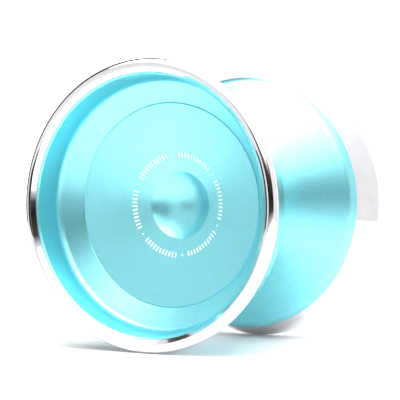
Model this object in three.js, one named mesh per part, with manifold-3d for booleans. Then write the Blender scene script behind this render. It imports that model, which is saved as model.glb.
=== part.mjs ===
// A modern two-metal yo-yo: two aluminium halves with polished steel rim rings, screwed together
// on a set-screw axle, with a shielded ball bearing in the string gap between them.
// Millimetres. Y is the spin axis, +Z is up and the origin is the centre of the bearing.
import * as THREE from 'three';
import { mergeVertices } from 'three/addons/utils/BufferGeometryUtils.js';
import Module from 'manifold-3d';

const wasm = await Module();
wasm.setup();

// Whole object
const OVERALL_DIAMETER = 55;
const OVERALL_WIDTH = 46;
const STRING_GAP = 4.6;
const FIT_GAP = 0.05;
const FACE_GAP = 0.04;

// Rim ring: a lip that slopes up to a narrow land at the crest, a rounded outer corner,
// then a band that tapers towards the string gap
const RING_INNER_RADIUS = 25;
const CREST_RADIUS = 26.1;
const CREST_LAND = 0.3;
const LIP_RISE = 0.7;
const RING_DEPTH = 7.7;
const BAND_ANGLE = THREE.MathUtils.degToRad(18);

// Cup, measured as depth below the body's own edge
const LIP_CHAMFER = 0.4;
const CUP_WALL_RADIUS = 24.05;
const CUP_FILLET_RADIUS = 2.1;
const OUTER_CONE_ANGLE = THREE.MathUtils.degToRad(30);
const GROOVE_RADIUS = 19.5;
const GROOVE_DEPTH = 8.5;
const GROOVE_WIDTH = 0.24;
const GROOVE_CUT = 0.16;
const DIMPLE_RADIUS = 6.45;
const DIMPLE_EDGE_DEPTH = 12.4;
const DIMPLE_EDGE_ANGLE = THREE.MathUtils.degToRad(35);

// Catch zone: hub wall, then a long straight flank that bends into the rim band
const FLANK_ANGLE = THREE.MathUtils.degToRad(63);
const FLANK_BEND_RADIUS = 3.2;
const HUB_WALL_ANGLE = THREE.MathUtils.degToRad(24);
const HUB_RADIUS = 10.25;
const HUB_BEND_RADIUS = 3;
const HUB_EDGE_RADIUS = 0.35;

// Response pad in its groove
const PAD_INNER_RADIUS = 7.1;
const PAD_OUTER_RADIUS = 9.5;
const PAD_THICKNESS = 1.3;

// Bearing, size C: bore 6.35, outside 12.7, width 4.76
const BEARING_BORE_RADIUS = 3.175;
const BEARING_OUTER_RADIUS = 6.35;
const BEARING_WIDTH = 4.76;
const BALL_RADIUS = 0.794;
const BALL_COUNT = 8;
const PITCH_RADIUS = 4.7625;
const RACE_SHOULDER_HEIGHT = 0.3;
const BALL_CLEARANCE = 0.05;
const CAGE_HALF_THICKNESS = 0.3;
const CAGE_BACK = 1.25;
const CAGE_PRONG = 0.5;
const POCKET_CLEARANCE = 0.1;
const SHIELD_THICKNESS = 0.2;
const SHIELD_SEAT = 1.65;
const SHIELD_OUTER_RADIUS = 5.8;
const SHIELD_BORE_CLEARANCE = 0.1;
const SNAP_RING_THICKNESS = 0.2;
const SNAP_RING_INNER_RADIUS = 5.55;
const SNAP_RING_OUTER_RADIUS = 5.98;
const SNAP_RING_OPENING = THREE.MathUtils.degToRad(24);

// Bearing seat and axle
const SEAT_LENGTH = 2;
const SHOULDER_RADIUS = 4.1;
const RECESS_DEPTH = 0.6;
const RECESS_CLEARANCE = 0.3;
const AXLE_RADIUS = 1.98;
const AXLE_LENGTH = 12;
const AXLE_CHAMFER = 0.35;
const SOCKET_ACROSS_FLATS = 2;
const SOCKET_DEPTH = 2;
const HEXAGON_SIDES = 6;
const HOLE_SPARE_DEPTH = 0.3;

// Facets round the axis, and steps along a small arc and along a long one
const BODY_FACETS = 48;
const BEARING_FACETS = 32;
const BALL_FACETS = 10;
const ARC_STEPS = 2;
const LONG_ARC_STEPS = 4;

const HALF_WIDTH = OVERALL_WIDTH / 2;
const BODY_EDGE = HALF_WIDTH - LIP_RISE;
const RIM_RADIUS = OVERALL_DIAMETER / 2;
const CORNER_RADIUS = RIM_RADIUS - CREST_RADIUS;
const GAP_FACE = STRING_GAP / 2;
const RING_SHOULDER = HALF_WIDTH - RING_DEPTH;

const anodised = new THREE.MeshStandardMaterial({ color: 0x7ddfe8, roughness: 0.38, metalness: 0.85 });
const polishedSteel = new THREE.MeshStandardMaterial({ color: 0xe4e2e6, roughness: 0.06, metalness: 1 });
const bearingSteel = new THREE.MeshStandardMaterial({ color: 0xb9bcc0, roughness: 0.2, metalness: 1 });
const brass = new THREE.MeshStandardMaterial({ color: 0xc9a253, roughness: 0.3, metalness: 1 });
const silicone = new THREE.MeshStandardMaterial({ color: 0xf2f0ea, roughness: 0.7, metalness: 0 });
const blackSteel = new THREE.MeshStandardMaterial({ color: 0x2b2b2e, roughness: 0.45, metalness: 0.9 });

// Turns a profile about Y. The radii are those of the flats, and a flat faces each of X and Z.
function turn(profile, facets) {
  const cornerScale = 1 / Math.cos(Math.PI / facets);
  const corners = profile.map((point) => new THREE.Vector2(point.x * cornerScale, point.y));
  return new THREE.LatheGeometry(corners, facets, Math.PI / facets);
}

// A closed rectangle profile between two radii and two heights.
function ringProfile(innerRadius, outerRadius, low, high) {
  return [
    new THREE.Vector2(innerRadius, low),
    new THREE.Vector2(outerRadius, low),
    new THREE.Vector2(outerRadius, high),
    new THREE.Vector2(innerRadius, high),
    new THREE.Vector2(innerRadius, low),
  ];
}

// Points of the fillet of a given radius where two straight lines of a profile meet.
function filletPoints(before, corner, after, radius, steps) {
  const inward = before.clone().sub(corner).normalize();
  const outward = after.clone().sub(corner).normalize();
  const halfAngle = Math.acos(inward.dot(outward)) / 2;
  const middle = inward.clone().add(outward).normalize();
  const centre = corner.clone().addScaledVector(middle, radius / Math.sin(halfAngle));
  const start = corner.clone().addScaledVector(inward, radius / Math.tan(halfAngle)).sub(centre);
  const end = corner.clone().addScaledVector(outward, radius / Math.tan(halfAngle)).sub(centre);
  const sweep = Math.atan2(start.cross(end), start.dot(end));
  const points = [];
  for (let i = 0; i <= steps; i += 1) {
    points.push(start.clone().rotateAround(new THREE.Vector2(), (sweep * i) / steps).add(centre));
  }
  return points;
}

// The band's line on the gap side of the ring: its radius at a height above the bearing's middle.
function bandRadius(height) {
  const tangentRadius = CREST_RADIUS + CORNER_RADIUS * Math.cos(BAND_ANGLE);
  const tangentHeight = HALF_WIDTH - CORNER_RADIUS * (1 + Math.sin(BAND_ANGLE));
  return tangentRadius - (tangentHeight - height) * Math.tan(BAND_ANGLE);
}

function rimRingProfile() {
  const cornerHeight = HALF_WIDTH - CORNER_RADIUS;
  const path = new THREE.Path();
  path.moveTo(RING_INNER_RADIUS, RING_SHOULDER + FACE_GAP);
  path.lineTo(bandRadius(RING_SHOULDER + FACE_GAP), RING_SHOULDER + FACE_GAP);
  path.absarc(CREST_RADIUS, cornerHeight, CORNER_RADIUS, -BAND_ANGLE, 0);
  path.absarc(CREST_RADIUS, cornerHeight, CORNER_RADIUS, 0, Math.PI / 2);
  path.lineTo(CREST_RADIUS - CREST_LAND, HALF_WIDTH);
  path.lineTo(RING_INNER_RADIUS, BODY_EDGE);
  path.lineTo(RING_INNER_RADIUS, RING_SHOULDER + FACE_GAP);
  return path.getPoints(ARC_STEPS);
}

// Bore for the axle, bearing seat, bearing recess and pad groove, from the axis outwards.
function hubProfile() {
  const boreEnd = AXLE_LENGTH / 2 + HOLE_SPARE_DEPTH;
  const boreRadius = AXLE_RADIUS + FIT_GAP;
  const seatRadius = BEARING_BORE_RADIUS - FIT_GAP;
  const seatEnd = BEARING_WIDTH / 2 - SEAT_LENGTH;
  const shoulder = BEARING_WIDTH / 2 + FACE_GAP;
  const recessRadius = BEARING_OUTER_RADIUS + RECESS_CLEARANCE;
  const grooveFloor = GAP_FACE + PAD_THICKNESS + FACE_GAP;
  return [
    new THREE.Vector2(0, boreEnd),
    new THREE.Vector2(boreRadius, boreEnd),
    new THREE.Vector2(boreRadius, seatEnd),
    new THREE.Vector2(seatRadius, seatEnd),
    new THREE.Vector2(seatRadius, shoulder),
    new THREE.Vector2(SHOULDER_RADIUS, shoulder),
    new THREE.Vector2(SHOULDER_RADIUS, GAP_FACE + RECESS_DEPTH),
    new THREE.Vector2(recessRadius, GAP_FACE + RECESS_DEPTH),
    new THREE.Vector2(recessRadius, GAP_FACE),
    new THREE.Vector2(PAD_INNER_RADIUS - FIT_GAP, GAP_FACE),
    new THREE.Vector2(PAD_INNER_RADIUS - FIT_GAP, grooveFloor),
    new THREE.Vector2(PAD_OUTER_RADIUS + FIT_GAP, grooveFloor),
    new THREE.Vector2(PAD_OUTER_RADIUS + FIT_GAP, GAP_FACE),
  ];
}

// Hub wall, straight flank and the bend into the rim band, out to the ring's shoulder.
function catchProfile() {
  const hubEdge = new THREE.Vector2(HUB_RADIUS, GAP_FACE);
  const boundary = new THREE.Vector2(bandRadius(RING_SHOULDER), RING_SHOULDER);
  const bendEnd = boundary.clone();
  const bandDirection = new THREE.Vector2(-Math.sin(BAND_ANGLE), -Math.cos(BAND_ANGLE));
  const flankDirection = new THREE.Vector2(-Math.sin(FLANK_ANGLE), -Math.cos(FLANK_ANGLE));
  const wallDirection = new THREE.Vector2(Math.sin(HUB_WALL_ANGLE), Math.cos(HUB_WALL_ANGLE));
  const bendTangent = FLANK_BEND_RADIUS * Math.tan((FLANK_ANGLE - BAND_ANGLE) / 2);
  const bendCorner = bendEnd.clone().addScaledVector(bandDirection, bendTangent);
  const span = bendCorner.clone().sub(hubEdge);
  const wallLength = span.cross(flankDirection) / wallDirection.cross(flankDirection);
  const wallTop = hubEdge.clone().addScaledVector(wallDirection, wallLength);
  const faceStart = new THREE.Vector2(PAD_OUTER_RADIUS, GAP_FACE);
  return [
    ...filletPoints(faceStart, hubEdge, wallTop, HUB_EDGE_RADIUS, ARC_STEPS),
    ...filletPoints(hubEdge, wallTop, bendCorner, HUB_BEND_RADIUS, ARC_STEPS),
    ...filletPoints(wallTop, bendCorner, boundary, FLANK_BEND_RADIUS, LONG_ARC_STEPS),
  ];
}

// Ring seat, chamfered lip, cup wall, fillet, two cones with the fine groove between, and the dimple.
function cupProfile() {
  const wallOuter = RING_INNER_RADIUS - FIT_GAP;
  const grooveHeight = BODY_EDGE - GROOVE_DEPTH;
  const cornerHeight = grooveHeight + (CUP_WALL_RADIUS - GROOVE_RADIUS) * Math.tan(OUTER_CONE_ANGLE);
  const wallTop = new THREE.Vector2(wallOuter - LIP_CHAMFER, BODY_EDGE - LIP_CHAMFER);
  const wallFoot = new THREE.Vector2(CUP_WALL_RADIUS, cornerHeight);
  const grooveOuter = new THREE.Vector2(GROOVE_RADIUS + GROOVE_WIDTH / 2, grooveHeight);
  const grooveInner = new THREE.Vector2(GROOVE_RADIUS - GROOVE_WIDTH / 2, grooveHeight);
  return [
    new THREE.Vector2(wallOuter, RING_SHOULDER),
    new THREE.Vector2(wallOuter, BODY_EDGE),
    wallTop,
    ...filletPoints(wallTop, wallFoot, grooveOuter, CUP_FILLET_RADIUS, LONG_ARC_STEPS),
    grooveOuter,
    new THREE.Vector2(GROOVE_RADIUS, grooveHeight - GROOVE_CUT),
    grooveInner,
    ...dimplePoints(),
  ];
}

// A shallow spherical bowl, from its rim to the axis.
function dimplePoints() {
  const sphereRadius = DIMPLE_RADIUS / Math.sin(DIMPLE_EDGE_ANGLE);
  const centreHeight = BODY_EDGE - DIMPLE_EDGE_DEPTH + sphereRadius * Math.cos(DIMPLE_EDGE_ANGLE);
  const points = [];
  for (let i = 0; i <= LONG_ARC_STEPS; i += 1) {
    const angle = DIMPLE_EDGE_ANGLE * (1 - i / LONG_ARC_STEPS);
    const height = centreHeight - sphereRadius * Math.cos(angle);
    points.push(new THREE.Vector2(sphereRadius * Math.sin(angle), height));
  }
  return points;
}

function halfBodyGeometry() {
  return turn([...hubProfile(), ...catchProfile(), ...cupProfile()], BODY_FACETS);
}

function responsePadGeometry() {
  const back = GAP_FACE + PAD_THICKNESS;
  return turn(ringProfile(PAD_INNER_RADIUS, PAD_OUTER_RADIUS, GAP_FACE, back), BODY_FACETS);
}

// One half of the yo-yo on the +Y side: body, rim ring and response pad.
function makeHalf(letter) {
  const half = new THREE.Group();
  half.add(namedMesh(`half_body_${letter}`, halfBodyGeometry(), anodised));
  half.add(namedMesh(`rim_ring_${letter}`, turn(rimRingProfile(), BODY_FACETS), polishedSteel));
  half.add(namedMesh(`response_pad_${letter}`, responsePadGeometry(), silicone));
  return half;
}

function namedMesh(name, geometry, material) {
  const mesh = new THREE.Mesh(geometry, material);
  mesh.name = name;
  return mesh;
}

// A closed geometry as a solid that can be cut.
function toSolid(geometry) {
  const bare = geometry.clone();
  bare.deleteAttribute('normal');
  bare.deleteAttribute('uv');
  const merged = mergeVertices(bare);
  const mesh = new wasm.Mesh({
    numProp: 3,
    vertProperties: new Float32Array(merged.attributes.position.array),
    triVerts: new Uint32Array(merged.index.array),
  });
  return new wasm.Manifold(mesh);
}

function toGeometry(solid) {
  const mesh = solid.getMesh();
  const geometry = new THREE.BufferGeometry();
  geometry.setAttribute('position', new THREE.BufferAttribute(mesh.vertProperties, 3));
  geometry.setIndex(new THREE.BufferAttribute(mesh.triVerts, 1));
  geometry.computeVertexNormals();
  return geometry;
}

// Set screw with a hexagon socket in its half A end and chamfers at both ends.
function axleGeometry() {
  const end = AXLE_LENGTH / 2;
  const blank = turn([
    new THREE.Vector2(0, -end),
    new THREE.Vector2(AXLE_RADIUS - AXLE_CHAMFER, -end),
    new THREE.Vector2(AXLE_RADIUS, -end + AXLE_CHAMFER),
    new THREE.Vector2(AXLE_RADIUS, end - AXLE_CHAMFER),
    new THREE.Vector2(AXLE_RADIUS - AXLE_CHAMFER, end),
    new THREE.Vector2(0, end),
  ], BEARING_FACETS);
  const cornerRadius = SOCKET_ACROSS_FLATS / Math.sqrt(3);
  const cutterLength = 2 * SOCKET_DEPTH;
  const socket = new THREE.CylinderGeometry(cornerRadius, cornerRadius, cutterLength, HEXAGON_SIDES);
  socket.translate(0, -end, 0);
  return toGeometry(toSolid(blank).subtract(toSolid(socket)));
}

// Inner race: a sleeve with the ball track turned into its outside.
function innerRaceGeometry() {
  const end = BEARING_WIDTH / 2;
  const shoulder = PITCH_RADIUS - BALL_RADIUS + RACE_SHOULDER_HEIGHT;
  const track = BALL_RADIUS + BALL_CLEARANCE;
  const reach = Math.acos((PITCH_RADIUS - shoulder) / track);
  const path = new THREE.Path();
  path.moveTo(BEARING_BORE_RADIUS, -end);
  path.lineTo(shoulder, -end);
  path.absarc(PITCH_RADIUS, 0, track, Math.PI + reach, Math.PI - reach, true);
  path.lineTo(shoulder, end);
  path.lineTo(BEARING_BORE_RADIUS, end);
  path.lineTo(BEARING_BORE_RADIUS, -end);
  return turn(path.getPoints(ARC_STEPS), BEARING_FACETS);
}

// Outer race: the ball track inside, and at each end a seat for the shield and its snap ring.
function outerRaceGeometry() {
  const end = BEARING_WIDTH / 2;
  const shoulder = PITCH_RADIUS + BALL_RADIUS - RACE_SHOULDER_HEIGHT;
  const track = BALL_RADIUS + BALL_CLEARANCE;
  const reach = Math.acos((shoulder - PITCH_RADIUS) / track);
  const seatRadius = SHIELD_OUTER_RADIUS + FIT_GAP;
  const grooveRadius = SNAP_RING_OUTER_RADIUS + FIT_GAP;
  const grooveLow = SHIELD_SEAT + SHIELD_THICKNESS + FACE_GAP;
  const grooveHigh = grooveLow + SNAP_RING_THICKNESS + 2 * FACE_GAP;
  const path = new THREE.Path();
  path.moveTo(shoulder, -SHIELD_SEAT);
  path.lineTo(seatRadius, -SHIELD_SEAT);
  path.lineTo(seatRadius, -grooveLow);
  path.lineTo(grooveRadius, -grooveLow);
  path.lineTo(grooveRadius, -grooveHigh);
  path.lineTo(seatRadius, -grooveHigh);
  path.lineTo(seatRadius, -end);
  path.lineTo(BEARING_OUTER_RADIUS, -end);
  path.lineTo(BEARING_OUTER_RADIUS, end);
  path.lineTo(seatRadius, end);
  path.lineTo(seatRadius, grooveHigh);
  path.lineTo(grooveRadius, grooveHigh);
  path.lineTo(grooveRadius, grooveLow);
  path.lineTo(seatRadius, grooveLow);
  path.lineTo(seatRadius, SHIELD_SEAT);
  path.lineTo(shoulder, SHIELD_SEAT);
  path.absarc(PITCH_RADIUS, 0, track, reach, -reach, true);
  path.lineTo(shoulder, -SHIELD_SEAT);
  return turn(path.getPoints(ARC_STEPS), BEARING_FACETS);
}

function ballGeometry(radius) {
  return new THREE.SphereGeometry(radius, BALL_FACETS, BALL_FACETS / 2);
}

function ballCentre(index) {
  const angle = (index / BALL_COUNT) * 2 * Math.PI;
  return new THREE.Vector3(PITCH_RADIUS * Math.sin(angle), 0, PITCH_RADIUS * Math.cos(angle));
}

// Crown cage: a thin ring with a round pocket for each ball.
function cageGeometry() {
  const inner = PITCH_RADIUS - CAGE_HALF_THICKNESS;
  const outer = PITCH_RADIUS + CAGE_HALF_THICKNESS;
  let cage = toSolid(turn(ringProfile(inner, outer, -CAGE_PRONG, CAGE_BACK), BEARING_FACETS));
  for (let i = 0; i < BALL_COUNT; i += 1) {
    const pocket = ballGeometry(BALL_RADIUS + POCKET_CLEARANCE);
    const centre = ballCentre(i);
    pocket.translate(centre.x, centre.y, centre.z);
    cage = cage.subtract(toSolid(pocket));
  }
  return toGeometry(cage);
}

function shieldGeometry(side) {
  const inner = PITCH_RADIUS - BALL_RADIUS + RACE_SHOULDER_HEIGHT + SHIELD_BORE_CLEARANCE;
  const near = side * (SHIELD_SEAT + FACE_GAP);
  const far = side * (SHIELD_SEAT + SHIELD_THICKNESS);
  const low = Math.min(near, far);
  const high = Math.max(near, far);
  return turn(ringProfile(inner, SHIELD_OUTER_RADIUS, low, high), BEARING_FACETS);
}

// Snap ring: a flat wire ring with an opening, lying in the outer race's groove.
function snapRingGeometry(side) {
  const start = Math.PI / 2 + SNAP_RING_OPENING / 2;
  const end = Math.PI / 2 - SNAP_RING_OPENING / 2 + 2 * Math.PI;
  const outline = new THREE.Shape();
  outline.absarc(0, 0, SNAP_RING_OUTER_RADIUS, start, end);
  outline.absarc(0, 0, SNAP_RING_INNER_RADIUS, end, start, true);
  outline.closePath();
  const wire = new THREE.ExtrudeGeometry(outline, {
    depth: SNAP_RING_THICKNESS,
    bevelEnabled: false,
    curveSegments: BEARING_FACETS / 2,
  });
  const low = SHIELD_SEAT + SHIELD_THICKNESS + 2 * FACE_GAP;
  wire.translate(0, 0, low);
  wire.rotateX(side * -Math.PI / 2);
  return wire;
}

function makeBearing() {
  const bearing = new THREE.Group();
  bearing.add(namedMesh('bearing_inner_race', innerRaceGeometry(), bearingSteel));
  bearing.add(namedMesh('bearing_outer_race', outerRaceGeometry(), bearingSteel));
  bearing.add(namedMesh('ball_cage', cageGeometry(), brass));
  for (const [letter, side] of [['a', -1], ['b', 1]]) {
    bearing.add(namedMesh(`bearing_shield_${letter}`, shieldGeometry(side), bearingSteel));
    bearing.add(namedMesh(`snap_ring_${letter}`, snapRingGeometry(side), blackSteel));
  }
  for (let i = 0; i < BALL_COUNT; i += 1) {
    const ball = namedMesh(`bearing_ball_${i + 1}`, ballGeometry(BALL_RADIUS), bearingSteel);
    ball.position.copy(ballCentre(i));
    bearing.add(ball);
  }
  return bearing;
}

const halfA = makeHalf('a');
halfA.rotation.x = Math.PI;
const halfB = makeHalf('b');

const yoyo = new THREE.Group();
yoyo.add(halfA);
yoyo.add(halfB);
yoyo.add(namedMesh('axle', axleGeometry(), blackSteel));
yoyo.add(makeBearing());

export default yoyo;
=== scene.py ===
import math

import bmesh
import bpy
from mathutils import Matrix, Vector


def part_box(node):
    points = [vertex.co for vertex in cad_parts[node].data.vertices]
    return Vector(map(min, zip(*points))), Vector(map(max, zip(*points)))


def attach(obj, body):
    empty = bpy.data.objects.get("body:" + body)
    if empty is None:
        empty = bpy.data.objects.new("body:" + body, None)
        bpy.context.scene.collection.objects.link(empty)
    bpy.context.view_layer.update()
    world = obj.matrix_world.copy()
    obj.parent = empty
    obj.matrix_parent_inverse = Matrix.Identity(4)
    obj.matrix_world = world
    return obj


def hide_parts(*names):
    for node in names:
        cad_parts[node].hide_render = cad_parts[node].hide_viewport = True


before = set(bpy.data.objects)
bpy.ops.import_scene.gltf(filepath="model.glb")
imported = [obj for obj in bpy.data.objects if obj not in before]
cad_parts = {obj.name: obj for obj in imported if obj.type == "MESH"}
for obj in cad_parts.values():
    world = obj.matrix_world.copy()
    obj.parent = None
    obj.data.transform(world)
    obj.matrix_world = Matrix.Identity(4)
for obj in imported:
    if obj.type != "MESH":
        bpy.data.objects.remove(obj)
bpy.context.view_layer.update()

MM = 0.001

# Sizes that the frame gives
ring_low, ring_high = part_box("rim_ring_b")
body_low, body_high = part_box("half_body_b")
pad_low, pad_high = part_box("response_pad_b")
axle_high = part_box("axle")[1]
inner_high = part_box("bearing_inner_race")[1]
outer_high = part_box("bearing_outer_race")[1]
shield_low, shield_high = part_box("bearing_shield_b")
snap_low, snap_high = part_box("snap_ring_b")
cage_low, cage_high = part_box("ball_cage")
ball_low, ball_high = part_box("bearing_ball_1")

RIM_RADIUS = ring_high.z
HALF_WIDTH = ring_high.y
RING_SHOULDER = ring_low.y
BODY_EDGE = body_high.y
SEAT_END = body_low.y
GAP_FACE = pad_low.y
PAD_OUTER = pad_high.z
PAD_BACK = pad_high.y
AXLE_END = axle_high.y
AXLE_RADIUS = axle_high.z
RACE_END = outer_high.y
RACE_OUTER = outer_high.z
INNER_SHOULDER = inner_high.z
SHIELD_OUTER = shield_high.z
SNAP_OUTER = snap_high.z
BALL_RADIUS = (ball_high.z - ball_low.z) / 2
PITCH_RADIUS = (ball_high.z + ball_low.z) / 2

# Sizes inside those boxes, as in the CAD model
RING_INNER = 25 * MM
CREST_RADIUS = 26.1 * MM
CREST_LAND = 0.3 * MM
BAND_ANGLE = math.radians(18)
LIP_CHAMFER = 0.4 * MM
CUP_WALL_RADIUS = 24.05 * MM
CUP_FILLET = 2.1 * MM
OUTER_CONE = math.radians(30)
GROOVE_RADIUS = 19.5 * MM
GROOVE_DEPTH = 8.5 * MM
GROOVE_WIDTH = 0.24 * MM
GROOVE_CUT = 0.16 * MM
DIMPLE_RADIUS = 6.45 * MM
DIMPLE_DEPTH = 12.4 * MM
DIMPLE_ANGLE = math.radians(35)
FLANK_ANGLE = math.radians(63)
FLANK_BEND = 3.2 * MM
WALL_ANGLE = math.radians(24)
HUB_RADIUS = 10.25 * MM
HUB_BEND = 3 * MM
HUB_EDGE = 0.35 * MM
PAD_INNER = 7.1 * MM
SEAT_RADIUS = 3.125 * MM
BORE_RADIUS = 2.03 * MM
HOLE_END = 6.3 * MM
SHOULDER_RADIUS = 4.1 * MM
RECESS_RADIUS = 6.65 * MM
RECESS_DEPTH = 0.6 * MM
FIT_GAP = 0.05 * MM
FACE_GAP = 0.04 * MM
BEARING_BORE = 3.175 * MM
TRACK_RADIUS = 0.844 * MM
SHIELD_SEAT = 1.65 * MM
SHIELD_INNER = 4.37 * MM
SNAP_INNER = 5.55 * MM
SNAP_OPENING = math.radians(24)
BALL_COUNT = 8
SOCKET_ACROSS_FLATS = 2 * MM
SOCKET_DEPTH = 2 * MM
AXLE_CHAMFER = 0.35 * MM
OUTER_SHOULDER_DEPTH = 0.3 * MM

# Sizes that only these finer pieces have: the thread, whose pitch is half B's travel in one turn, the
# socket's edge and a closer pocket for each ball
THREAD_PITCH = 0.7 * MM
THREAD_DEPTH = 0.38 * MM
THREAD_FLANK = 2.4  # how many depths its flank falls in one pitch's length
THREAD_CREST = 0.1  # share of a depth that the flat crest cuts off
SOCKET_CHAMFER = 0.08 * MM
POCKET_GAP = 0.08 * MM

# Ring of small marks round the dimple
MARK_INNER = 9.15 * MM
MARK_OUTER = 10.1 * MM
MARK_GROUPS = 6
MARKS_PER_GROUP = 11
MARK_SPACES = 3
MARK_WIDTH = 0.29 * MM
MARK_HEIGHT = 0.012 * MM
MARK_SINK = 0.02 * MM

# Camera, floor and the greatest radiance of a light card
CAMERA_AZIMUTH = math.radians(30.542)
CAMERA_PITCH = math.radians(1.085)
CAMERA_PLACE = (0.17441, -0.29788, 0.00729)
CAMERA_LENS = 157.84
CAMERA_SENSOR = 36
CAMERA_NEAREST = 0.01
FLOOR = -RIM_RADIUS
FLOOR_REACH = 4
FULL_GLOW = 8.0
WORLD_GLOW = 2

# The light tent, from the object: to the camera's right, ahead of it (away from the camera) and up
TENT_SIDE = 0.15
TENT_BACK = 0.17
TENT_FRONT = -0.2
TENT_TOP = 0.155
OPENING_LEFT = -0.11
OPENING_TOP = 0.06
LAMP_DROP = 0.004
LAMP_GLOW = 6.8
CARD_GAP = 0.002

# Fineness of the meshes
BODY_SEGMENTS = 320
RING_SEGMENTS = 384
BEARING_SEGMENTS = 128
AXLE_SEGMENTS = 96
BALL_SEGMENTS = 32
TRACK_STEPS = 14
ROWS_PER_TURN = 12
ARC_STEP = math.radians(4)
SMALL_ARC_STEP = math.radians(15)
SMALL_RADIUS = 0.1 * MM
DIMPLE_STEP = math.radians(2.5)
SUPPORT = 0.06 * MM
LONG_STRETCH = 4 * SUPPORT
BEND_SHARE = 0.999  # so that the flank's bend ends just short of the seam with the ring
SHARP_ANGLE = math.radians(28)
ON_AXIS = 1e-7

# Noise mostly stays between these two values
NOISE_LOW = 0.3
NOISE_HIGH = 0.7


def fillet(before, corner, after, radius):
    """Points of the arc that rounds a corner of a profile."""
    inward = (before - corner).normalized()
    outward = (after - corner).normalized()
    half_angle = inward.angle(outward) / 2
    reach = radius / math.tan(half_angle)
    start, end = corner + inward * reach, corner + outward * reach
    centre = corner + (inward + outward).normalized() * radius / math.sin(half_angle)
    turn = math.pi - 2 * half_angle
    arc_step = ARC_STEP if radius > SMALL_RADIUS else SMALL_ARC_STEP
    steps = max(2, math.ceil(turn / arc_step))
    first, last = start - centre, end - centre
    points = []
    for i in range(steps + 1):
        angle = turn * i / steps
        weight_first = math.sin(turn - angle) / math.sin(turn)
        weight_last = math.sin(angle) / math.sin(turn)
        points.append(centre + first * weight_first + last * weight_last)
    return points


def outline(corners, closed=False):
    """Points of a profile given as (radius, y) or (radius, y, fillet radius) corners."""
    spots = [Vector(corner[:2]) for corner in corners]
    points = []
    for i, corner in enumerate(corners):
        inside = closed or 0 < i < len(corners) - 1
        if len(corner) == 3 and inside:
            arc = fillet(spots[i - 1], spots[i], spots[(i + 1) % len(spots)], corner[2])
            add_support(points, arc[0])
            points.extend(arc)
        else:
            add_support(points, spots[i])
            points.append(spots[i])
    if closed:
        add_support(points, points[0])
    return points


def add_support(points, target):
    """Two points just inside the ends of a long straight stretch, which keep its shading even."""
    if points and (target - points[-1]).length > LONG_STRETCH:
        start = points[-1]
        step = (target - start).normalized() * SUPPORT
        points.extend([start + step, target - step])


def skin(faces, near, far):
    """Faces between two loops of vertices, where a loop of one vertex is a point on the axis."""
    count = max(len(near), len(far))
    for i in range(count):
        j = (i + 1) % count
        if len(near) == 1:
            faces.append((near[0], far[j], far[i]))
        elif len(far) == 1:
            faces.append((near[i], near[j], far[0]))
        else:
            faces.append((near[i], near[j], far[j], far[i]))


def make_object(name, vertices, faces):
    """An object with smooth faces, facing out, and sharp edges only where its surface turns hard."""
    mesh = bpy.data.meshes.new(name)
    mesh.from_pydata(vertices, [], faces)
    work = bmesh.new()
    work.from_mesh(mesh)
    bmesh.ops.recalc_face_normals(work, faces=work.faces)
    work.to_mesh(mesh)
    work.free()
    mesh.shade_smooth()
    mesh.set_sharp_from_angle(angle=SHARP_ANGLE)
    item = bpy.data.objects.new(name, mesh)
    bpy.context.scene.collection.objects.link(item)
    return item


def stack(name, rows, loop):
    """A body of revolution's mesh from rows of points; the last row joins the first if loop is set."""
    vertices, faces, indices = [], [], []
    for row in rows:
        indices.append(list(range(len(vertices), len(vertices) + len(row))))
        vertices.extend(row)
    pairs = list(zip(indices, indices[1:]))
    if loop:
        pairs.append((indices[-1], indices[0]))
    for near, far in pairs:
        skin(faces, near, far)
    return make_object(name, vertices, faces)


def circle(radius, y, segments):
    """A ring of points round the Y axis, or one point if it has no radius."""
    if radius < ON_AXIS:
        return [(0, y, 0)]
    angles = [2 * math.pi * i / segments for i in range(segments)]
    return [(radius * math.sin(angle), y, radius * math.cos(angle)) for angle in angles]


def lathe(name, points, side=1, segments=BODY_SEGMENTS):
    """Turns a profile about Y. A profile that doesn't start on the axis is a closed loop."""
    rows = [circle(point.x, side * point.y, segments) for point in points]
    return stack(name, rows, loop=points[0].x > ON_AXIS)


def band_radius(y):
    """Radius of the ring's tapering band at a height above the bearing's middle."""
    corner_radius = RIM_RADIUS - CREST_RADIUS
    tangent_radius = CREST_RADIUS + corner_radius * math.cos(BAND_ANGLE)
    tangent_y = HALF_WIDTH - corner_radius * (1 + math.sin(BAND_ANGLE))
    return tangent_radius - (tangent_y - y) * math.tan(BAND_ANGLE)


def cup_cone_y(radius):
    """Height of the cup's inner cone, between the fine groove and the dimple."""
    outer_y = BODY_EDGE - GROOVE_DEPTH
    inner_y = BODY_EDGE - DIMPLE_DEPTH
    share = (radius - DIMPLE_RADIUS) / (GROOVE_RADIUS - GROOVE_WIDTH / 2 - DIMPLE_RADIUS)
    return inner_y + (outer_y - inner_y) * share


def crossing(point, direction, other, other_direction):
    """Where two lines of a profile meet."""
    across = direction.cross(other_direction)
    return point + direction * ((other - point).cross(other_direction) / across)


def rim_ring(name, side):
    """The steel ring: its tapering band, round corner and flat land, then a slope down to the cup."""
    corner_radius = RIM_RADIUS - CREST_RADIUS
    root_edge = 0.05 * MM
    seam_edge = 0.03 * MM
    land_edge = 0.12 * MM
    cup_edge = 0.04 * MM
    corners = [
        (RING_INNER, RING_SHOULDER, root_edge),
        (band_radius(RING_SHOULDER), RING_SHOULDER, seam_edge),
        (band_radius(HALF_WIDTH), HALF_WIDTH, corner_radius),
        (CREST_RADIUS - CREST_LAND, HALF_WIDTH, land_edge),
        (RING_INNER, BODY_EDGE, cup_edge),
    ]
    return lathe(name, outline(corners, closed=True), side, RING_SEGMENTS)


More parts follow.
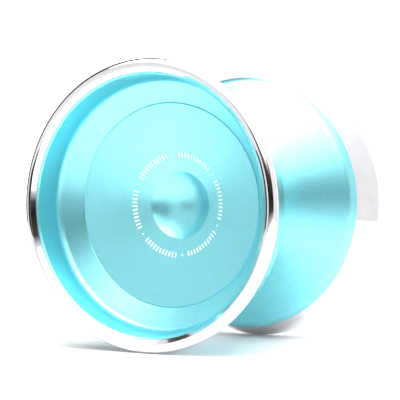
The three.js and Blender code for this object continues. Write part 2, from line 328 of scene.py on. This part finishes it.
def half_body(name, side):
    """Bearing seat and pad groove, hub wall and flank outside, then the cup and its dimple."""
    band_direction = Vector((-math.sin(BAND_ANGLE), -math.cos(BAND_ANGLE)))
    flank_direction = Vector((-math.sin(FLANK_ANGLE), -math.cos(FLANK_ANGLE)))
    wall_direction = Vector((math.sin(WALL_ANGLE), math.cos(WALL_ANGLE)))
    boundary = Vector((band_radius(RING_SHOULDER), RING_SHOULDER))
    bend_reach = FLANK_BEND * math.tan((FLANK_ANGLE - BAND_ANGLE) / 2)
    bend = boundary + band_direction * bend_reach
    hub_edge = Vector((HUB_RADIUS, GAP_FACE))
    wall_top = crossing(hub_edge, wall_direction, bend, flank_direction)
    groove_floor = PAD_BACK + FACE_GAP
    shoulder = RACE_END + FACE_GAP
    edge = 0.06 * MM
    sharp_edge = 0.001 * MM
    root_edge = 0.02 * MM
    lip_edge = 0.03 * MM
    chamfer_edge = 0.05 * MM
    groove_edge = 0.02 * MM
    groove_bottom = 0.03 * MM
    dimple_edge = 0.25 * MM
    wall_radius = RING_INNER - FIT_GAP
    groove_y = BODY_EDGE - GROOVE_DEPTH
    foot_y = groove_y + (CUP_WALL_RADIUS - GROOVE_RADIUS) * math.tan(OUTER_CONE)
    corners = [
        (0, HOLE_END),
        (BORE_RADIUS, HOLE_END),
        (BORE_RADIUS, SEAT_END, edge),
        (SEAT_RADIUS, SEAT_END, edge),
        (SEAT_RADIUS, shoulder, edge),
        (SHOULDER_RADIUS, shoulder, edge),
        (SHOULDER_RADIUS, GAP_FACE + RECESS_DEPTH, edge),
        (RECESS_RADIUS, GAP_FACE + RECESS_DEPTH, edge),
        (RECESS_RADIUS, GAP_FACE, edge),
        (PAD_INNER - FIT_GAP, GAP_FACE, edge),
        (PAD_INNER - FIT_GAP, groove_floor, edge),
        (PAD_OUTER + FIT_GAP, groove_floor, edge),
        (PAD_OUTER + FIT_GAP, GAP_FACE, edge),
        (HUB_RADIUS, GAP_FACE, HUB_EDGE),
        (wall_top.x, wall_top.y, HUB_BEND),
        (bend.x, bend.y, FLANK_BEND * BEND_SHARE),
        (boundary.x, boundary.y, sharp_edge),
        (wall_radius, RING_SHOULDER, root_edge),
        (wall_radius, BODY_EDGE, lip_edge),
        (wall_radius - LIP_CHAMFER, BODY_EDGE - LIP_CHAMFER, chamfer_edge),
        (CUP_WALL_RADIUS, foot_y, CUP_FILLET),
        (GROOVE_RADIUS + GROOVE_WIDTH / 2, groove_y, groove_edge),
        (GROOVE_RADIUS, groove_y - GROOVE_CUT, groove_bottom),
        (GROOVE_RADIUS - GROOVE_WIDTH / 2, groove_y, groove_edge),
        (DIMPLE_RADIUS, BODY_EDGE - DIMPLE_DEPTH, dimple_edge),
    ]
    return lathe(name, outline(corners + dimple_points()), side)


def dimple_points():
    """The bowl from just inside its edge to the axis."""
    sphere = DIMPLE_RADIUS / math.sin(DIMPLE_ANGLE)
    centre_y = BODY_EDGE - DIMPLE_DEPTH + sphere * math.cos(DIMPLE_ANGLE)
    steps = math.ceil(DIMPLE_ANGLE / DIMPLE_STEP)
    angles = [DIMPLE_ANGLE * (1 - i / steps) for i in range(1, steps + 1)]
    return [(sphere * math.sin(angle), centre_y - sphere * math.cos(angle)) for angle in angles]


def response_pad(name, side):
    """A silicone ring with a soft edge, in its groove beside the bearing."""
    face_edge = 0.15 * MM
    back_edge = 0.1 * MM
    corners = [
        (PAD_INNER, GAP_FACE, face_edge),
        (PAD_OUTER, GAP_FACE, face_edge),
        (PAD_OUTER, PAD_BACK, back_edge),
        (PAD_INNER, PAD_BACK, back_edge),
    ]
    return lathe(name, outline(corners, closed=True), side)


def axle(name):
    """Set screw: a helical thread with chamfered ends and a hexagon socket in its half A end."""
    angles = [2 * math.pi * i / AXLE_SEGMENTS for i in range(AXLE_SEGMENTS)]
    flat = SOCKET_ACROSS_FLATS / 2

    def ring(y, radius_at):
        return [(radius_at(a) * math.sin(a), y, radius_at(a) * math.cos(a)) for a in angles]

    def hexagon(angle):
        sector = math.radians(60)
        return flat / math.cos((angle % sector) - sector / 2)

    def thread(y):
        def radius(angle):
            from_crest = abs((y / THREAD_PITCH - angle / (2 * math.pi)) % 1 - 0.5)
            cut = min(1, max(0, THREAD_FLANK * from_crest - THREAD_CREST))
            end_limit = AXLE_RADIUS - AXLE_CHAMFER + (AXLE_END - abs(y))
            return min(AXLE_RADIUS - THREAD_DEPTH * cut, end_limit)
        return radius

    rows = [[(0, -AXLE_END + SOCKET_DEPTH + flat / 2, 0)]]
    rows.append(ring(-AXLE_END + SOCKET_DEPTH, hexagon))
    rows.append(ring(-AXLE_END + SOCKET_CHAMFER, hexagon))
    rows.append(ring(-AXLE_END, lambda angle: hexagon(angle) + SOCKET_CHAMFER))
    steps = round(2 * AXLE_END / (THREAD_PITCH / ROWS_PER_TURN))
    for i in range(steps + 1):
        y = -AXLE_END + 2 * AXLE_END * i / steps
        rows.append(ring(y, thread(y)))
    rows.append([(0, AXLE_END, 0)])
    return stack(name, rows, loop=False)


def track(shoulder, facing):
    """Points of the ball track's arc between its two shoulders, as (radius, y) with y rising."""
    reach = math.acos(abs(shoulder - PITCH_RADIUS) / TRACK_RADIUS)
    points = []
    for i in range(TRACK_STEPS + 1):
        angle = reach * (2 * i / TRACK_STEPS - 1)
        radius = PITCH_RADIUS + facing * TRACK_RADIUS * math.cos(angle)
        points.append((radius, TRACK_RADIUS * math.sin(angle)))
    return points


def inner_race(name):
    """The bearing's inner ring, with the ball track round its outside."""
    edge = 0.12 * MM
    corners = [(INNER_SHOULDER, -RACE_END, edge)]
    corners += track(INNER_SHOULDER, facing=-1)
    corners += [
        (INNER_SHOULDER, RACE_END, edge),
        (BEARING_BORE, RACE_END, edge),
        (BEARING_BORE, -RACE_END, edge),
    ]
    return lathe(name, outline(corners, closed=True), segments=BEARING_SEGMENTS)


def outer_race(name):
    """The bearing's outer ring: the ball track, then a shield's seat and a snap ring's groove each way."""
    shoulder = PITCH_RADIUS + BALL_RADIUS - OUTER_SHOULDER_DEPTH
    seat = SHIELD_OUTER + FIT_GAP
    groove = SNAP_OUTER + FIT_GAP
    groove_low = shield_high.y + FACE_GAP
    groove_high = snap_high.y + FACE_GAP
    inner_edge = 0.03 * MM
    mouth_edge = 0.05 * MM
    edge = 0.15 * MM
    upper = [
        (shoulder, SHIELD_SEAT, inner_edge),
        (seat, SHIELD_SEAT),
        (seat, groove_low),
        (groove, groove_low),
        (groove, groove_high),
        (seat, groove_high, inner_edge),
        (seat, RACE_END, mouth_edge),
        (RACE_OUTER, RACE_END, edge),
    ]
    lower = [(corner[0], -corner[1], *corner[2:]) for corner in reversed(upper)]
    corners = track(shoulder, facing=1) + upper + lower
    return lathe(name, outline(corners, closed=True), segments=BEARING_SEGMENTS)


def bearing_shield(name, side):
    """A pressed disc: a flat ring with a shallow step and rounded edges."""
    low, high = shield_low.y, shield_high.y
    rim_width = 0.45 * MM
    step = 0.04 * MM
    inside_edge = 0.03 * MM
    edge = 0.05 * MM
    step_radius = SHIELD_OUTER - rim_width
    corners = [
        (SHIELD_INNER, low, inside_edge),
        (SHIELD_OUTER, low, inside_edge),
        (SHIELD_OUTER, high, edge),
        (step_radius, high, edge),
        (step_radius - step, high - step, edge),
        (SHIELD_INNER, high - step, edge),
    ]
    return lathe(name, outline(corners, closed=True), side, BEARING_SEGMENTS)


def snap_ring(name, side):
    """A flat wire ring with rounded corners and an opening at the top."""
    low, high = snap_low.y, snap_high.y
    edge = 0.04 * MM
    corners = [
        (SNAP_INNER, low, edge),
        (SNAP_OUTER, low, edge),
        (SNAP_OUTER, high, edge),
        (SNAP_INNER, high, edge),
    ]
    section = outline(corners, closed=True)
    vertices, faces, rows = [], [], []
    for i in range(BEARING_SEGMENTS + 1):
        angle = SNAP_OPENING / 2 + (2 * math.pi - SNAP_OPENING) * i / BEARING_SEGMENTS
        rows.append(list(range(len(vertices), len(vertices) + len(section))))
        for point in section:
            vertices.append((point.x * math.sin(angle), side * point.y, point.x * math.cos(angle)))
    for near, far in zip(rows, rows[1:]):
        skin(faces, near, far)
    faces.append(tuple(rows[0]))
    faces.append(tuple(reversed(rows[-1])))
    return make_object(name, vertices, faces)


def ball_centre(index):
    """Centre of one ball; the first is at the top."""
    angle = 2 * math.pi * index / BALL_COUNT
    return Vector((PITCH_RADIUS * math.sin(angle), 0, PITCH_RADIUS * math.cos(angle)))


def ball(name, centre, radius):
    """A ball built of rings about an axis along Y through its centre."""
    rows = []
    steps = BALL_SEGMENTS // 2
    for i in range(steps + 1):
        angle = math.pi * i / steps
        ring = circle(radius * math.sin(angle), -radius * math.cos(angle), BALL_SEGMENTS)
        rows.append([tuple(Vector(point) + centre) for point in ring])
    return stack(name, rows, loop=False)


def ball_cage(name):
    """A crown: a thin ring with a round pocket cut for each ball."""
    edge = 0.06 * MM
    inner = 2 * PITCH_RADIUS - cage_high.z
    corners = [
        (inner, cage_low.y, edge),
        (cage_high.z, cage_low.y, edge),
        (cage_high.z, cage_high.y, edge),
        (inner, cage_high.y, edge),
    ]
    cage = lathe(name, outline(corners, closed=True), segments=BEARING_SEGMENTS)
    pockets = [ball("pocket", ball_centre(i), BALL_RADIUS + POCKET_GAP) for i in range(BALL_COUNT)]
    for pocket in pockets:
        cut = cage.modifiers.new("pocket", "BOOLEAN")
        cut.operation = "DIFFERENCE"
        cut.object = pocket
        cut.solver = "EXACT"
    settled = cage.evaluated_get(bpy.context.evaluated_depsgraph_get())
    cage.data = bpy.data.meshes.new_from_object(settled)
    cage.modifiers.clear()
    cage.data.shade_smooth()
    cage.data.set_sharp_from_angle(angle=SHARP_ANGLE)
    for pocket in pockets:
        bpy.data.objects.remove(pocket)
    return cage


def mark_ring(name, side):
    """Small bars round the dimple in six groups, with a square dot between each two groups."""
    vertices, faces = [], []
    places = MARKS_PER_GROUP + MARK_SPACES
    pitch = 2 * math.pi / (MARK_GROUPS * places)
    middle = (MARK_INNER + MARK_OUTER) / 2
    for group in range(MARK_GROUPS):
        first = (group * places + 0.5) * pitch
        for i in range(MARKS_PER_GROUP):
            add_mark(vertices, faces, side, first + i * pitch, MARK_INNER, MARK_OUTER)
        dot = first + (MARKS_PER_GROUP + 1) * pitch
        add_mark(vertices, faces, side, dot, middle - MARK_WIDTH / 2, middle + MARK_WIDTH / 2)
    return make_object(name, vertices, faces)


def add_mark(vertices, faces, side, angle, inner, outer):
    """One bar lying on the cup's inner cone, sunk slightly into it."""
    start = len(vertices)
    across = Vector((math.cos(angle), 0, -math.sin(angle)))
    along = Vector((math.sin(angle), 0, math.cos(angle)))
    for lift in (-MARK_SINK, MARK_HEIGHT):
        for radius, offset in ((inner, -1), (inner, 1), (outer, 1), (outer, -1)):
            place = along * radius + across * offset * MARK_WIDTH / 2
            height = cup_cone_y(place.length) + lift
            vertices.append((place.x, side * height, place.z))
    base = [start + i for i in range(4)]
    top = [start + 4 + i for i in range(4)]
    faces.append(tuple(reversed(base)))
    faces.append(tuple(top))
    skin(faces, base, top)


def new_material(name, **sockets):
    """A material whose shader has these even values; names use _ for a space."""
    material = bpy.data.materials.new(name)
    material.use_nodes = True
    shader = material.node_tree.nodes["Principled BSDF"]
    for socket, value in sockets.items():
        shader.inputs[socket.replace("_", " ").title().replace("Ior", "IOR")].default_value = value
    return material, material.node_tree, shader


def place_vector(tree):
    """The point's own place in metres, since every object sits at the origin."""
    return tree.nodes.new("ShaderNodeTexCoord").outputs["Object"]


def polar_vector(tree):
    """(distance from the spin axis, y, 0), so that a pattern of it runs round the axis."""
    split = tree.nodes.new("ShaderNodeSeparateXYZ")
    tree.links.new(place_vector(tree), split.inputs[0])
    flat = tree.nodes.new("ShaderNodeCombineXYZ")
    tree.links.new(split.outputs["X"], flat.inputs["X"])
    tree.links.new(split.outputs["Z"], flat.inputs["Y"])
    length = tree.nodes.new("ShaderNodeVectorMath")
    length.operation = "LENGTH"
    tree.links.new(flat.outputs[0], length.inputs[0])
    polar = tree.nodes.new("ShaderNodeCombineXYZ")
    tree.links.new(length.outputs["Value"], polar.inputs["X"])
    tree.links.new(split.outputs["Y"], polar.inputs["Y"])
    return polar.outputs[0]


def noise(tree, vector, size, detail=2.0, roughness=0.5):
    """Noise whose features are about size metres across."""
    node = tree.nodes.new("ShaderNodeTexNoise")
    node.inputs["Scale"].default_value = 1 / size
    node.inputs["Detail"].default_value = detail
    node.inputs["Roughness"].default_value = roughness
    tree.links.new(vector, node.inputs["Vector"])
    return node.outputs["Fac"]


def span(tree, factor, low, high):
    """Maps noise to a range of values."""
    node = tree.nodes.new("ShaderNodeMapRange")
    node.inputs["From Min"].default_value = NOISE_LOW
    node.inputs["From Max"].default_value = NOISE_HIGH
    node.inputs["To Min"].default_value = low
    node.inputs["To Max"].default_value = high
    tree.links.new(factor, node.inputs["Value"])
    return node.outputs["Result"]


def tint(tree, factor, first, second):
    """Mixes two colours by noise."""
    node = tree.nodes.new("ShaderNodeValToRGB")
    node.color_ramp.elements[0].position = NOISE_LOW
    node.color_ramp.elements[0].color = (*first, 1)
    node.color_ramp.elements[1].position = NOISE_HIGH
    node.color_ramp.elements[1].color = (*second, 1)
    tree.links.new(factor, node.inputs["Fac"])
    return node.outputs["Color"]


def bump(tree, shader, height, depth, below=None):
    """Raises the surface by height, at most depth metres; below is a bump that lies under this one."""
    node = tree.nodes.new("ShaderNodeBump")
    node.inputs["Strength"].default_value = 1
    node.inputs["Distance"].default_value = depth
    tree.links.new(height, node.inputs["Height"])
    if below is not None:
        tree.links.new(below, node.inputs["Normal"])
    tree.links.new(node.outputs["Normal"], shader.inputs["Normal"])
    return node.outputs["Normal"]


def anodised_material():
    """Bead-blasted aluminium under a dyed oxide layer."""
    material, tree, shader = new_material(
        "anodised_teal", metallic=0.85, coat_weight=0.3, coat_roughness=0.2)
    deep_teal, pale_teal = (0.215, 0.64, 0.71), (0.270, 0.72, 0.78)
    place = place_vector(tree)
    grain = noise(tree, place, size=0.3 * MM, detail=3)
    cloud = noise(tree, place, size=6 * MM, detail=2)
    colour = tint(tree, grain, deep_teal, pale_teal)
    tree.links.new(colour, shader.inputs["Base Color"])
    tree.links.new(span(tree, cloud, low=0.29, high=0.32), shader.inputs["Roughness"])
    rings = noise(tree, polar_vector(tree), size=0.12 * MM, detail=1)
    turned = bump(tree, shader, rings, depth=0.0006 * MM)
    bump(tree, shader, grain, depth=0.006 * MM, below=turned)
    return material


def polished_steel_material():
    """Mirror-polished stainless steel with faint lines left by the polishing wheel."""
    material, tree, shader = new_material("mirror_steel", metallic=1)
    dull_steel, bright_steel = (0.80, 0.79, 0.82), (0.86, 0.85, 0.88)
    place = place_vector(tree)
    lines = noise(tree, polar_vector(tree), size=0.05 * MM, detail=3, roughness=0.7)
    cloud = noise(tree, place, size=3 * MM, detail=3)
    colour = tint(tree, cloud, dull_steel, bright_steel)
    tree.links.new(colour, shader.inputs["Base Color"])
    tree.links.new(span(tree, cloud, low=0.03, high=0.07), shader.inputs["Roughness"])
    bump(tree, shader, lines, depth=0.00012 * MM)
    return material


def bearing_steel_material():
    """Ground bearing steel, with its grinding lines round the axis."""
    material, tree, shader = new_material("ground_steel", metallic=1)
    dull_steel, bright_steel = (0.50, 0.51, 0.53), (0.60, 0.61, 0.62)
    lines = noise(tree, polar_vector(tree), size=0.03 * MM, detail=3, roughness=0.7)
    cloud = noise(tree, place_vector(tree), size=1.2 * MM)
    colour = tint(tree, cloud, dull_steel, bright_steel)
    tree.links.new(colour, shader.inputs["Base Color"])
    tree.links.new(span(tree, lines, low=0.16, high=0.30), shader.inputs["Roughness"])
    bump(tree, shader, lines, depth=0.0008 * MM)
    return material


def brass_material():
    """Stamped brass with a slightly uneven satin surface."""
    material, tree, shader = new_material("satin_brass", metallic=1)
    dark_brass, pale_brass = (0.55, 0.36, 0.12), (0.68, 0.47, 0.18)
    cloud = noise(tree, place_vector(tree), size=0.5 * MM, detail=4)
    colour = tint(tree, cloud, dark_brass, pale_brass)
    tree.links.new(colour, shader.inputs["Base Color"])
    tree.links.new(span(tree, cloud, low=0.25, high=0.4), shader.inputs["Roughness"])
    bump(tree, shader, cloud, depth=0.002 * MM)
    return material


def blackened_steel_material():
    """Steel under a black oxide, a little patchy."""
    material, tree, shader = new_material("black_oxide", metallic=1)
    black, charcoal = (0.035, 0.035, 0.04), (0.075, 0.072, 0.07)
    cloud = noise(tree, place_vector(tree), size=0.4 * MM, detail=4)
    colour = tint(tree, cloud, black, charcoal)
    tree.links.new(colour, shader.inputs["Base Color"])
    tree.links.new(span(tree, cloud, low=0.32, high=0.48), shader.inputs["Roughness"])
    bump(tree, shader, cloud, depth=0.003 * MM)
    return material


def silicone_material():
    """Soft white silicone with a slightly dusty, cast surface."""
    material, tree, shader = new_material(
        "cast_silicone", subsurface_weight=0.3, subsurface_scale=0.4 * MM, ior=1.41)
    dusty_white, milky_white = (0.74, 0.73, 0.69), (0.84, 0.83, 0.80)
    place = place_vector(tree)
    cloud = noise(tree, place, size=1.5 * MM, detail=3)
    grain = noise(tree, place, size=0.12 * MM, detail=2)
    colour = tint(tree, cloud, dusty_white, milky_white)
    tree.links.new(colour, shader.inputs["Base Color"])
    tree.links.new(span(tree, grain, low=0.45, high=0.62), shader.inputs["Roughness"])
    bump(tree, shader, grain, depth=0.006 * MM)
    return material


def mark_material():
    """Laser-etched aluminium: pale, matt and slightly uneven."""
    material, tree, shader = new_material("etched_marks", metallic=0.2)
    tinted_white, bare_white = (0.72, 0.82, 0.84), (0.93, 0.95, 0.96)
    grain = noise(tree, place_vector(tree), size=0.09 * MM, detail=3)
    colour = tint(tree, grain, tinted_white, bare_white)
    tree.links.new(colour, shader.inputs["Base Color"])
    tree.links.new(span(tree, grain, low=0.5, high=0.7), shader.inputs["Roughness"])
    bump(tree, shader, grain, depth=0.005 * MM)
    return material


def finish_piece(piece, node, body, material):
    """Gives a piece its material and puts it in the place of a CAD node, if it stands for one."""
    piece.data.materials.append(material)
    if node:
        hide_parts(node)
    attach(piece, body)


def make_yoyo():
    """Every piece, with the halves' own pieces made twice."""
    anodised = anodised_material()
    steel = polished_steel_material()
    silicone = silicone_material()
    bearing_steel = bearing_steel_material()
    brass = brass_material()
    black = blackened_steel_material()
    marks = mark_material()
    for letter, side in (("a", -1), ("b", 1)):
        body = f"half_{letter}"
        halves = (
            (half_body, f"half_body_{letter}", body, anodised, "anodised_aluminium"),
            (rim_ring, f"rim_ring_{letter}", body, steel, "polished_steel"),
            (response_pad, f"response_pad_{letter}", body, silicone, "silicone"),
            (bearing_shield, f"bearing_shield_{letter}", "outer_race", bearing_steel, "bearing_steel"),
            (snap_ring, f"snap_ring_{letter}", "outer_race", black, "blackened_steel"),
        )
        for build, node, rides, material, slot in halves:
            finish_piece(build(f"{node}_fine", side), node, rides, material)
        finish_piece(mark_ring(f"etched_marks_{letter}", side), None, body, marks)
    middle = (
        (axle, "axle", "axle", "half_a", black, "blackened_steel"),
        (inner_race, "inner_race", "bearing_inner_race", "inner_race", bearing_steel, "bearing_steel"),
        (outer_race, "outer_race", "bearing_outer_race", "outer_race", bearing_steel, "bearing_steel"),
        (ball_cage, "ball_cage", "ball_cage", "cage", brass, "cage_brass"),
    )
    for build, name, node, rides, material, slot in middle:
        finish_piece(build(f"{name}_fine"), node, rides, material)
    for i in range(BALL_COUNT):
        sphere = ball(f"ball_{i + 1}_fine", ball_centre(i), BALL_RADIUS)
        finish_piece(sphere, f"bearing_ball_{i + 1}", f"ball_{i + 1}", bearing_steel)


def make_camera():
    """A long lens at the object's height, looking almost level at cup A from one side."""
    camera = bpy.data.objects.new("camera", bpy.data.cameras.new("camera"))
    camera.data.lens = CAMERA_LENS
    camera.data.sensor_width = CAMERA_SENSOR
    camera.data.clip_start = CAMERA_NEAREST
    camera.location = CAMERA_PLACE
    camera.rotation_euler = (math.radians(90) - CAMERA_PITCH, 0, CAMERA_AZIMUTH)
    bpy.context.scene.collection.objects.link(camera)
    bpy.context.scene.camera = camera


def glow_material(name, levels):
    """Light whose strength changes with height; levels are (share of the card's height, colour)."""
    material = bpy.data.materials.new(name)
    material.use_nodes = True
    tree = material.node_tree
    tree.nodes.clear()
    place = tree.nodes.new("ShaderNodeTexCoord")
    split = tree.nodes.new("ShaderNodeSeparateXYZ")
    ramp = tree.nodes.new("ShaderNodeValToRGB")
    glow = tree.nodes.new("ShaderNodeEmission")
    output = tree.nodes.new("ShaderNodeOutputMaterial")
    stops = ramp.color_ramp.elements
    stops.remove(stops[1])
    for share, _ in levels[1:]:
        stops.new(share)
    for stop, (share, colour) in zip(stops, levels):
        stop.position = share
        stop.color = (*[value / FULL_GLOW for value in colour], 1)
    glow.inputs["Strength"].default_value = FULL_GLOW
    tree.links.new(place.outputs["Generated"], split.inputs[0])
    tree.links.new(split.outputs["Z"], ramp.inputs["Fac"])
    tree.links.new(ramp.outputs["Color"], glow.inputs["Color"])
    tree.links.new(glow.outputs[0], output.inputs["Surface"])
    return material


def studio_point(right, ahead, up):
    """A point measured from the object along the camera's right, its forward direction and up."""
    turned = Matrix.Rotation(CAMERA_AZIMUTH, 3, "Z")
    return turned @ Vector((right, ahead, up))


def card(name, low, high, *levels):
    """A flat card between two opposite corners, given as (right, ahead, up). The camera can't see it.

    Each level is (height, radiance), where radiance is one value or a colour.
    """
    flat = min(range(3), key=lambda axis: high[axis] - low[axis])
    across, along = [axis for axis in range(3) if axis != flat]
    corners = []
    for a, b in ((0, 0), (1, 0), (1, 1), (0, 1)):
        corner = list(low)
        corner[across] = (low, high)[a][across]
        corner[along] = (low, high)[b][along]
        corners.append(studio_point(*corner))
    rise = max(high[2] - low[2], MM)
    shares = []
    for height, radiance in levels:
        colour = radiance if isinstance(radiance, tuple) else (radiance,) * 3
        shares.append(((height - low[2]) / rise, colour))
    item = make_object(name, corners, [(0, 1, 2, 3)])
    item.data.materials.append(glow_material(name, shares))
    item.visible_camera = False


def make_floor():
    """A wide, plain, nearly white floor that the two rims stand on."""
    corners = [(x * FLOOR_REACH, y * FLOOR_REACH, FLOOR) for x, y in ((-1, -1), (1, -1), (1, 1), (-1, 1))]
    floor = make_object("floor", corners, [(0, 1, 2, 3)])
    material, tree, shader = new_material(
        "lit_floor", roughness=0.3, emission_strength=0.05, emission_color=(1, 1, 1, 1))
    pale_grey, near_white = (0.93, 0.93, 0.93), (0.95, 0.95, 0.95)
    cloud = noise(tree, place_vector(tree), size=40 * MM)
    colour = tint(tree, cloud, pale_grey, near_white)
    tree.links.new(colour, shader.inputs["Base Color"])
    floor.data.materials.append(material)


def make_studio():
    """A small white light tent, with a lamp above the object and one above the tent's opening.

    The opening, on the camera's side, is dark: the polished steel shows it as its dark bands.
    """
    world = bpy.data.worlds.new("studio")
    world.use_nodes = True
    world.node_tree.nodes["Background"].inputs["Color"].default_value = (1, 1, 1, 1)
    world.node_tree.nodes["Background"].inputs["Strength"].default_value = WORLD_GLOW
    bpy.context.scene.world = world
    bpy.context.scene.view_settings.view_transform = "Standard"
    make_tent_walls()
    make_tent_front()
    make_floor()


def make_tent_walls():
    """The walls and ceiling in stretches of different brightness, two lamps and a narrow dark gap."""
    side, back, front, top = TENT_SIDE, TENT_BACK, TENT_FRONT, TENT_TOP
    left_joint, right_joint, back_joint, ceiling_joint = 0.035, 0.04, -0.01, 0.05
    lamp_height = top - LAMP_DROP
    card("left_wall", (-side, front, FLOOR), (-side, left_joint, top), (0.02, 1.06), (0.08, 0.92))
    card("left_wall_back", (-side, left_joint, FLOOR), (-side, back, top), (-0.02, 1.5), (-0.013, 0.08))
    card("right_wall_front", (side, front, FLOOR), (side, right_joint, top), (0.03, 1.0), (0.12, 1.2))
    card("right_wall_back", (side, right_joint, FLOOR), (side, back, top), (0, 1.8))
    card("back_wall_left", (-side, back, FLOOR), (back_joint, back, top), (-0.02, 1.5), (-0.013, 0.1))
    card("back_wall_right", (back_joint, back, FLOOR), (side, back, top), (0, 0.7), (0.06, 1.3))
    card("ceiling", (-side, front, top), (side, ceiling_joint, top), (top, 2.8))
    card("ceiling_left", (-side, ceiling_joint, top), (0, back, top), (top, 0.08))
    card("ceiling_right", (0, ceiling_joint, top), (side, back, top), (top, 3.4))
    card("lamp", (-0.105, -0.1, lamp_height), (0.05, 0.05, lamp_height), (top, LAMP_GLOW))
    card("lamp_front", (-0.055, -0.18, lamp_height), (0.06, -0.1, lamp_height), (top, LAMP_GLOW))
    gap = -side + CARD_GAP
    warm_black = (0.05, 0.04, 0.035)
    card("dark_gap", (gap, -0.14, -0.011), (gap, -0.02, 0.012), (0, warm_black))


def make_tent_front():
    """The dark opening, with a dim warm edge above it that brightens into the curtain and its lamp."""
    side, front, top = TENT_SIDE, TENT_FRONT, TENT_TOP
    left, sill = OPENING_LEFT, OPENING_TOP
    near_black, brown, taupe = (0.015, 0.015, 0.015), (0.08, 0.06, 0.05), (0.16, 0.12, 0.10)
    curtain_edge = (0.14, 0.10, 0.08)
    lamp_front = front + 2 * CARD_GAP
    card("curtain_left", (-side, front, FLOOR), (left, front, top), (0.03, 0.9), (0.1, 0.8))
    card("curtain", (left, front, sill), (side, front, top), (0.08, curtain_edge), (0.1, 0.9))
    card("curtain_lamp", (-0.035, lamp_front, 0.05), (0.07, lamp_front, top),
         (0.05, 0.12), (0.066, 0.8), (0.088, 2.9), (top, 3.9))
    card("opening", (left, front, FLOOR), (side, front, sill),
         (FLOOR, 0.8), (-0.01, 0.06), (0.01, near_black), (0.05, brown), (sill, taupe))


make_yoyo()
make_camera()
make_studio()
